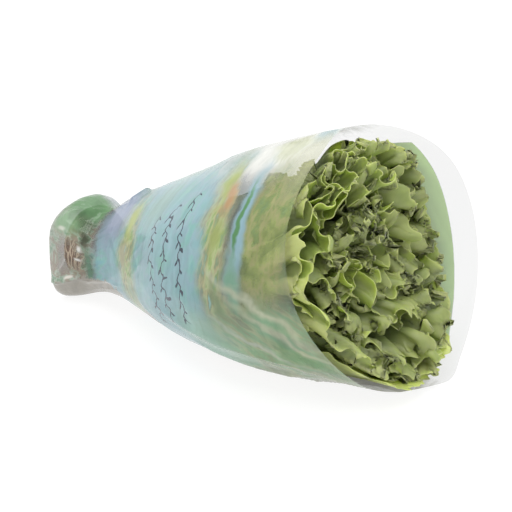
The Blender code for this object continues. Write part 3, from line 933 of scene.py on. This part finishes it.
# The noise stays near 0.5, so the colours change at these values of it.
PAINT_STEPS = (0.3, 0.4, 0.47, 0.54, 0.61, 0.7)
film_paints = {}
for paint, lean, size, colours in PAINTS:
    paint_place = add(
        film_tree,
        "ShaderNodeMapping",
        {"vector_type": "TEXTURE", "Rotation": (0, 0, np.radians(lean)), "Scale": size},
        {"Vector": film_place.outputs["Vector"]},
    )
    paint_noise = add(
        film_tree,
        "ShaderNodeTexNoise",
        {"Scale": 1.0, "Detail": 3.0, "Roughness": 0.6},
        {"Vector": paint_place.outputs["Vector"]},
    )
    paint_mix = add(film_tree, "ShaderNodeValToRGB", links={"Fac": paint_noise.outputs["Fac"]})
    paint_ramp = paint_mix.color_ramp
    paint_ramp.elements[0].position = PAINT_STEPS[0]
    paint_ramp.elements[0].color = linear(colours[0])
    paint_ramp.elements[1].position = PAINT_STEPS[-1]
    paint_ramp.elements[1].color = linear(colours[-1])
    for place, colour in zip(PAINT_STEPS[1:-1], colours[1:-1]):
        paint_ramp.elements.new(place).color = linear(colour)
    film_paints[paint] = paint_mix.outputs["Color"]
# Bare film is clear with a grey sheen. Each stroke is laid over what is there: how far a spot
# lies from its centre, in half sizes, says how much of its ink shows. In a mix of values,
# input 0 is the share and 2 and 3 are the two values.
film_colour = add(film_tree, "ShaderNodeRGB").outputs[0]
film_colour.default_value = linear("96989A")
film_cover = add(film_tree, "ShaderNodeValue").outputs[0]
film_cover.default_value = 0.22
for along, round_at, half_long, half_round, lean, softness, colour, cover in STROKES:
    stroke = add(
        film_tree,
        "ShaderNodeMapping",
        {
            "vector_type": "TEXTURE",
            "Location": (along, round_at, 0),
            "Rotation": (0, 0, np.radians(lean)),
            "Scale": (half_long, half_round, 1),
        },
        {"Vector": film_drawn.outputs["Vector"]},
    )
    reach = add(
        film_tree,
        "ShaderNodeVectorMath",
        {"operation": "LENGTH"},
        {0: stroke.outputs["Vector"]},
    )
    frayed = add(
        film_tree,
        "ShaderNodeMath",
        {"operation": "ADD"},
        {0: reach.outputs["Value"], 1: film_frayed.outputs[0]},
    )
    laid = add(
        film_tree,
        "ShaderNodeMapRange",
        {
            "interpolation_type": "SMOOTHSTEP",
            "From Min": 1 + softness,
            "From Max": 1 - softness,
        },
        {"Value": frayed.outputs[0]},
    )
    settings = {"data_type": "RGBA"}
    sources = {0: laid.outputs["Result"], 6: film_colour}
    if colour in film_paints:
        sources[7] = film_paints[colour]
    else:
        settings[7] = linear(colour)
    film_colour = add(film_tree, "ShaderNodeMix", settings, sources).outputs[2]
    film_cover = add(
        film_tree,
        "ShaderNodeMix",
        {"data_type": "FLOAT", 3: cover},
        {0: laid.outputs["Result"], 2: film_cover},
    ).outputs[0]
# Three dark blue vines run round the blue wash: wavy stems 1 to 2 mm thick and this far apart,
# which bend and bear a small leaf on either side about once in this many degrees.
VINE_GAP = 20.0
VINE_TURN = 11.0
VINE_SWING = 2.0
VINE_LEAF_OUT = 3.4
vine_place = add(
    film_tree,
    "ShaderNodeMapping",
    {
        "vector_type": "TEXTURE",
        "Location": (163, 12, 0),
        "Rotation": (0, 0, np.radians(14)),
    },
    {"Vector": film_drawn.outputs["Vector"]},
)
vine_axes = add(film_tree, "ShaderNodeSeparateXYZ", links={0: vine_place.outputs["Vector"]})
vine_across = add(
    film_tree,
    "ShaderNodeMath",
    {"operation": "WRAP", 1: VINE_GAP / 2, 2: -VINE_GAP / 2},
    {0: vine_axes.outputs["X"]},
)
vine_bend = add(
    film_tree,
    "ShaderNodeMath",
    {"operation": "MULTIPLY", 1: 2 * np.pi / VINE_TURN},
    {0: vine_axes.outputs["Y"]},
)
vine_wave = add(film_tree, "ShaderNodeMath", {"operation": "SINE"}, {0: vine_bend.outputs[0]})
vine_middle = add(
    film_tree,
    "ShaderNodeMath",
    {"operation": "MULTIPLY_ADD", 1: -VINE_SWING},
    {0: vine_wave.outputs[0], 2: vine_across.outputs[0]},
)
vine_off = add(
    film_tree, "ShaderNodeMath", {"operation": "ABSOLUTE"}, {0: vine_middle.outputs[0]}
)
vine_ink = add(
    film_tree,
    "ShaderNodeMapRange",
    {"interpolation_type": "SMOOTHSTEP", "From Min": 1.0, "From Max": 0.5},
    {"Value": vine_off.outputs[0]},
).outputs["Result"]
for side, start in ((VINE_LEAF_OUT, 0.0), (-VINE_LEAF_OUT, VINE_TURN / 2)):
    vine_leaf_along = add(
        film_tree,
        "ShaderNodeMath",
        {"operation": "ADD", 1: start},
        {0: vine_axes.outputs["Y"]},
    )
    vine_leaf_along = add(
        film_tree,
        "ShaderNodeMath",
        {"operation": "WRAP", 1: VINE_TURN / 2, 2: -VINE_TURN / 2},
        {0: vine_leaf_along.outputs[0]},
    )
    vine_leaf_spot = add(
        film_tree,
        "ShaderNodeCombineXYZ",
        links={"X": vine_across.outputs[0], "Y": vine_leaf_along.outputs[0]},
    )
    vine_leaf_shape = add(
        film_tree,
        "ShaderNodeMapping",
        {
            "vector_type": "TEXTURE",
            "Location": (side, 0, 0),
            "Rotation": (0, 0, np.radians(-35 if side > 0 else 35)),
            "Scale": (2.3, 0.8, 1),
        },
        {"Vector": vine_leaf_spot.outputs["Vector"]},
    )
    vine_leaf_reach = add(
        film_tree,
        "ShaderNodeVectorMath",
        {"operation": "LENGTH"},
        {0: vine_leaf_shape.outputs["Vector"]},
    )
    vine_leaf_ink = add(
        film_tree,
        "ShaderNodeMapRange",
        {"interpolation_type": "SMOOTHSTEP", "From Min": 1.2, "From Max": 0.8},
        {"Value": vine_leaf_reach.outputs["Value"]},
    )
    vine_ink = add(
        film_tree,
        "ShaderNodeMath",
        {"operation": "MAXIMUM"},
        {0: vine_ink, 1: vine_leaf_ink.outputs["Result"]},
    ).outputs[0]
# The ink shows only in a box round the three vines, and fades at its sides.
for axis, start, end in (("X", 31, 29), ("X", -31, -29), ("Y", 36, 33), ("Y", -42, -38)):
    vine_end = add(
        film_tree,
        "ShaderNodeMapRange",
        {"From Min": start, "From Max": end},
        {"Value": vine_axes.outputs[axis]},
    )
    vine_ink = add(
        film_tree,
        "ShaderNodeMath",
        {"operation": "MULTIPLY"},
        {0: vine_ink, 1: vine_end.outputs["Result"]},
    ).outputs[0]
film_colour = add(
    film_tree,
    "ShaderNodeMix",
    {"data_type": "RGBA", 7: linear("22384E")},
    {0: vine_ink, 6: film_colour},
).outputs[2]

# A plain light green field covers the back panel, up to a straight edge about 20 mm from the
# mouth. Each side of it is a line across the pattern, over which it fades from start to end.
field_inside = add(film_tree, "ShaderNodeValue").outputs[0]
field_inside.default_value = 1.0
for lean, start, end in (
    ((1, -0.42, 0), 243.1, 241.9),
    ((1, 0, 0), 232, 262),
    ((0, 1, 0), 133.2, 134.4),
    ((0, 1, 0), 240, 230),
):
    field_line = add(
        film_tree,
        "ShaderNodeVectorMath",
        {"operation": "DOT_PRODUCT", 1: lean},
        {0: film_place.outputs["Vector"]},
    )
    field_side = add(
        film_tree,
        "ShaderNodeMapRange",
        {"interpolation_type": "SMOOTHSTEP", "From Min": start, "From Max": end},
        {"Value": field_line.outputs["Value"]},
    )
    field_inside = add(
        film_tree,
        "ShaderNodeMath",
        {"operation": "MULTIPLY"},
        {0: field_inside, 1: field_side.outputs["Result"]},
    ).outputs[0]
film_cover = add(
    film_tree,
    "ShaderNodeMix",
    {"data_type": "FLOAT", 3: 0.85},
    {0: field_inside, 2: film_cover},
).outputs[0]
# The bristle marks make the ink a little lighter and darker.
film_light = add(
    film_tree,
    "ShaderNodeMapRange",
    {"From Min": 0.3, "From Max": 0.7, "To Min": 0.54, "To Max": 0.72},
    {"Value": film_brush.outputs["Fac"]},
)
film_shade = add(
    film_tree,
    "ShaderNodeVectorMath",
    {"operation": "SCALE"},
    {0: film_colour, "Scale": film_light.outputs["Result"]},
)
# The field is laid on evenly, and painted paler towards the top seam: painted light that makes up
# for the shade inside the sleeve there.
film_turn = add(
    film_tree,
    "ShaderNodeSeparateXYZ",
    links={"Vector": film_place.outputs["Vector"]},
)
field_painted_light = add(
    film_tree,
    "ShaderNodeMapRange",
    {"From Min": 195, "From Max": 145},
    {"Value": film_turn.outputs["Y"]},
)
field_colour = add(
    film_tree,
    "ShaderNodeMix",
    {"data_type": "RGBA", 6: linear("A0C07F"), 7: linear("D2F5A8")},
    {0: field_painted_light.outputs["Result"]},
)
film_ink = add(
    film_tree,
    "ShaderNodeMix",
    {"data_type": "RGBA"},
    {0: field_inside, 6: film_shade.outputs["Vector"], 7: field_colour.outputs[2]},
)
film_tree.links.new(film_ink.outputs[2], film_shader.inputs["Base Color"])
film_tree.links.new(film_cover, film_shader.inputs["Alpha"])
film_shader.inputs["Roughness"].default_value = 0.16
film_shader.inputs["IOR"].default_value = 1.5

degrees_round = np.linspace(0, 360, FILM_AROUND + 1)[None, :] + UV_START[1]
angles = np.radians(degrees_round)
lengths = np.linspace(0, 1, FILM_ALONG)[:, None]
reach_x = lengths * mouth(angles)
tube = film(reach_x, angles, crinkle(reach_x, angles) - FILM_INSET)
# The closed end is a shallow dome from the first ring of the tube to its middle.
rise = np.linspace(0, np.pi / 2, DOME_ROWS, endpoint=False)[:, None, None]
dome_middle = middle_of(np.array(0.0))
dome = dome_middle + (tube[0] - dome_middle) * np.sin(rise)
dome[..., 0] = -DOME_DEPTH * np.cos(rise[..., 0])
# In the pattern the dome takes up the 10 mm before the tube.
dome_x = -UV_START[0] * (np.sin(rise[..., 0]) - 1) + 0 * angles
film_points = np.concatenate([dome, tube])[:, :-1]
film_x = np.concatenate([dome_x, reach_x])
film_turns = np.broadcast_to(degrees_round, film_x.shape)
film_grid_uv = (np.stack([film_x, film_turns], -1) - UV_START) / UV_SIZE
sleeve = surface("sleeve_film", film_points, film_grid_uv, film_plastic, closed_round=True)
merge_points(sleeve)
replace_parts(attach(sleeve, "root"), "sleeve")

# The light and the camera
# Soft studio light from all round, a little stronger from above, and a long lens.

world = bpy.data.worlds.new("studio")
bpy.context.scene.world = world
world.use_nodes = True
world.node_tree.nodes["Background"].inputs["Color"].default_value = (1, 1, 1, 1)
world.node_tree.nodes["Background"].inputs["Strength"].default_value = 1.0
bpy.context.scene.view_settings.view_transform = "Standard"

# A softbox 1.2 m wide hangs 1.3 m above the table, a little to the front and the right.
lamp = bpy.data.lights.new("softbox", "AREA")
lamp.shape = "RECTANGLE"
lamp.size = 1.2
lamp.size_y = 1.0
lamp.energy = 11
softbox = bpy.data.objects.new("softbox", lamp)
softbox.location = (0.15, -0.3, 1.3)
softbox.rotation_euler = (np.radians(14), np.radians(6), 0)
bpy.context.scene.collection.objects.link(softbox)

# The camera looks from the front right and above, at a point in metres.
CAMERA_TURN = np.radians(36)
CAMERA_RISE = np.radians(22)
CAMERA_DISTANCE = 1.2
CAMERA_LENS = 104.9
LOOKS_AT = np.array([-0.009, 0.0, 0.075])
away = np.array(
    [
        np.sin(CAMERA_TURN) * np.cos(CAMERA_RISE),
        -np.cos(CAMERA_TURN) * np.cos(CAMERA_RISE),
        np.sin(CAMERA_RISE),
    ]
)
camera_data = bpy.data.cameras.new("camera")
camera_data.lens = CAMERA_LENS
camera_data.sensor_width = 36
camera = bpy.data.objects.new("camera", camera_data)
camera.location = LOOKS_AT + CAMERA_DISTANCE * away
camera.rotation_euler = (np.pi / 2 - CAMERA_RISE, 0, CAMERA_TURN)
bpy.context.scene.collection.objects.link(camera)
bpy.context.scene.camera = camera
